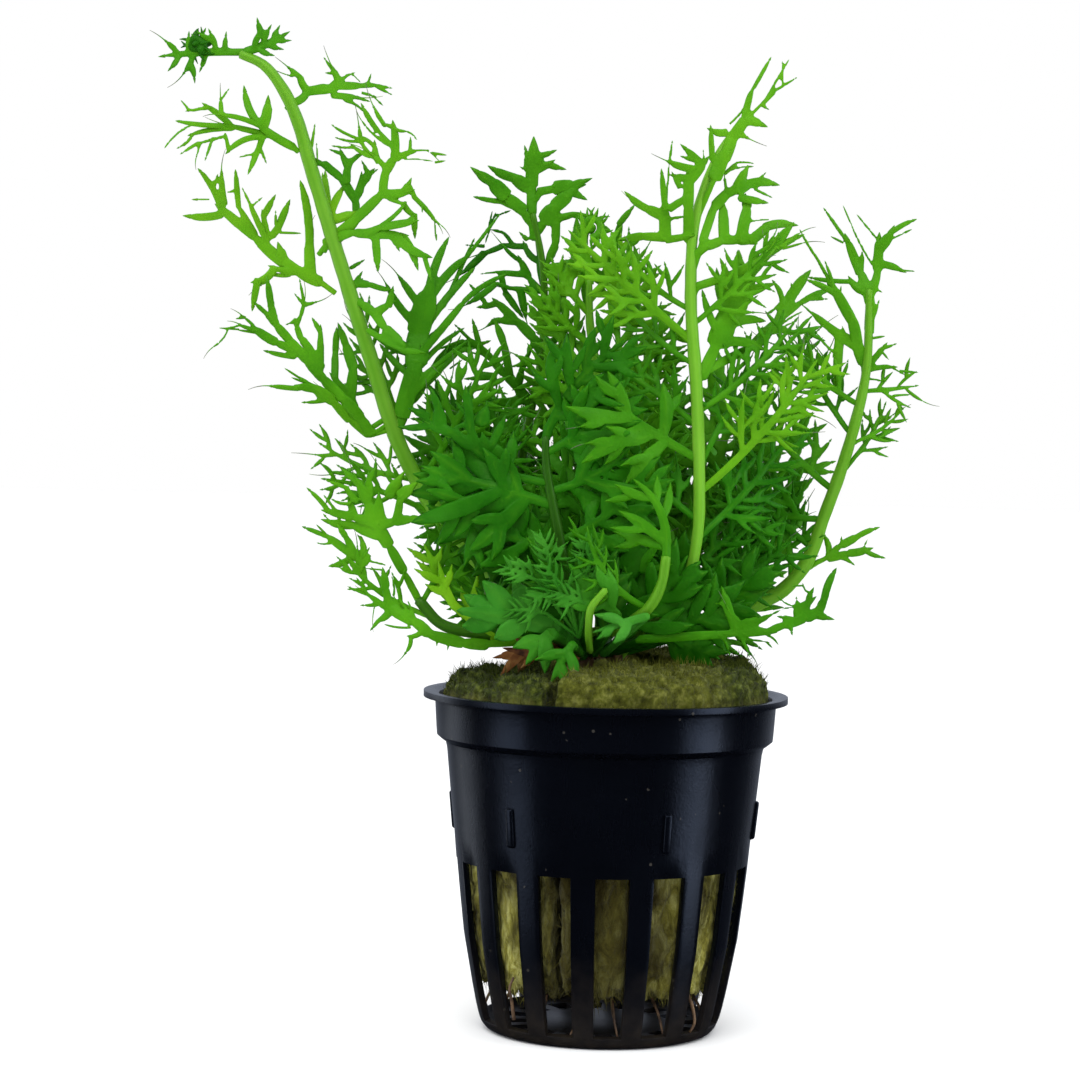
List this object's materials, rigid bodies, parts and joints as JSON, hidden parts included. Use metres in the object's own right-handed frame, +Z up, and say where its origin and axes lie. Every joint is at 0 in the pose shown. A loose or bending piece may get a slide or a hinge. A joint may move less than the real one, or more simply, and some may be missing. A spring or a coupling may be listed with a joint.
{
  "type": "potted water sprite fern",
  "caption": "Finely divided aquarium fern with arching fronds, rooted in mineral wool in a black slotted net pot with a flared lip and flat base.",
  "frame": {"origin": "centre of the underside of the net pot, on the surface the pot stands on", "axes": "+Z up along the pot's axis, -Y towards the front, where the slots lean least and the lacy young leaves hang forward; the tall curled frond leans towards -X"},
  "size_m": [0.113, 0.0614, 0.1476],
  "materials": {
    "black_plastic": "glossy moulded black plastic",
    "mineral_wool": "matted mineral fibres, stained olive and brown",
    "rootstock": "brown, scaly and damp",
    "stalk": "smooth and juicy, light green",
    "leaf": "soft and slightly glossy, fresh green"
  },
  "bodies": {
    "root": {"crown": "rootstock", "leaf_back_left": "leaf", "leaf_back_low": "leaf", "leaf_back_middle": "leaf", "leaf_back_right": "leaf", "leaf_bottom_left": "leaf", "leaf_centre_right_1": "leaf", "leaf_centre_right_2": "leaf", "leaf_centre_right_3": "leaf", "leaf_centre_right_4": "leaf", "leaf_centre_right_5": "leaf", "leaf_centre_right_6": "leaf", "leaf_centre_right_7": "leaf", "leaf_centre_right_8": "leaf", "leaf_centre_right_top": "leaf", "leaf_curled_top": "leaf", "leaf_front_1": "leaf", "leaf_front_top": "leaf", "leaf_heart_1": "leaf", "leaf_heart_2": "leaf", "leaf_heart_3": "leaf", "leaf_inner": "leaf", "leaf_left_tall_1": "leaf", "leaf_left_tall_2": "leaf", "leaf_left_tall_3": "leaf", "leaf_left_tall_4": "leaf", "leaf_left_tall_5": "leaf", "leaf_left_tall_6": "leaf", "leaf_left_tall_7": "leaf", "leaf_left_tall_8": "leaf", "leaf_left_tall_9": "leaf", "leaf_left_tall_curl": "leaf", "leaf_low_left": "leaf", "leaf_low_right": "leaf", "leaf_middle_1": "leaf", "leaf_middle_2": "leaf", "leaf_middle_3": "leaf", "leaf_middle_4": "leaf", "leaf_middle_top": "leaf", "leaf_right_1": "leaf", "leaf_right_2": "leaf", "leaf_right_3": "leaf", "leaf_right_4": "leaf", "leaf_right_5": "leaf", "leaf_right_6": "leaf", "leaf_right_7": "leaf", "leaf_right_top": "leaf", "leaf_round": "leaf", "net_pot": "black_plastic", "stalk_centre_right": "stalk", "stalk_curled": "stalk", "stalk_front": "stalk", "stalk_heart": "stalk", "stalk_left_tall": "stalk", "stalk_low_left": "stalk", "stalk_middle": "stalk", "stalk_right": "stalk", "wool_back": "mineral_wool", "wool_front": "mineral_wool", "wool_left": "mineral_wool"}
  },
  "joints": []
}
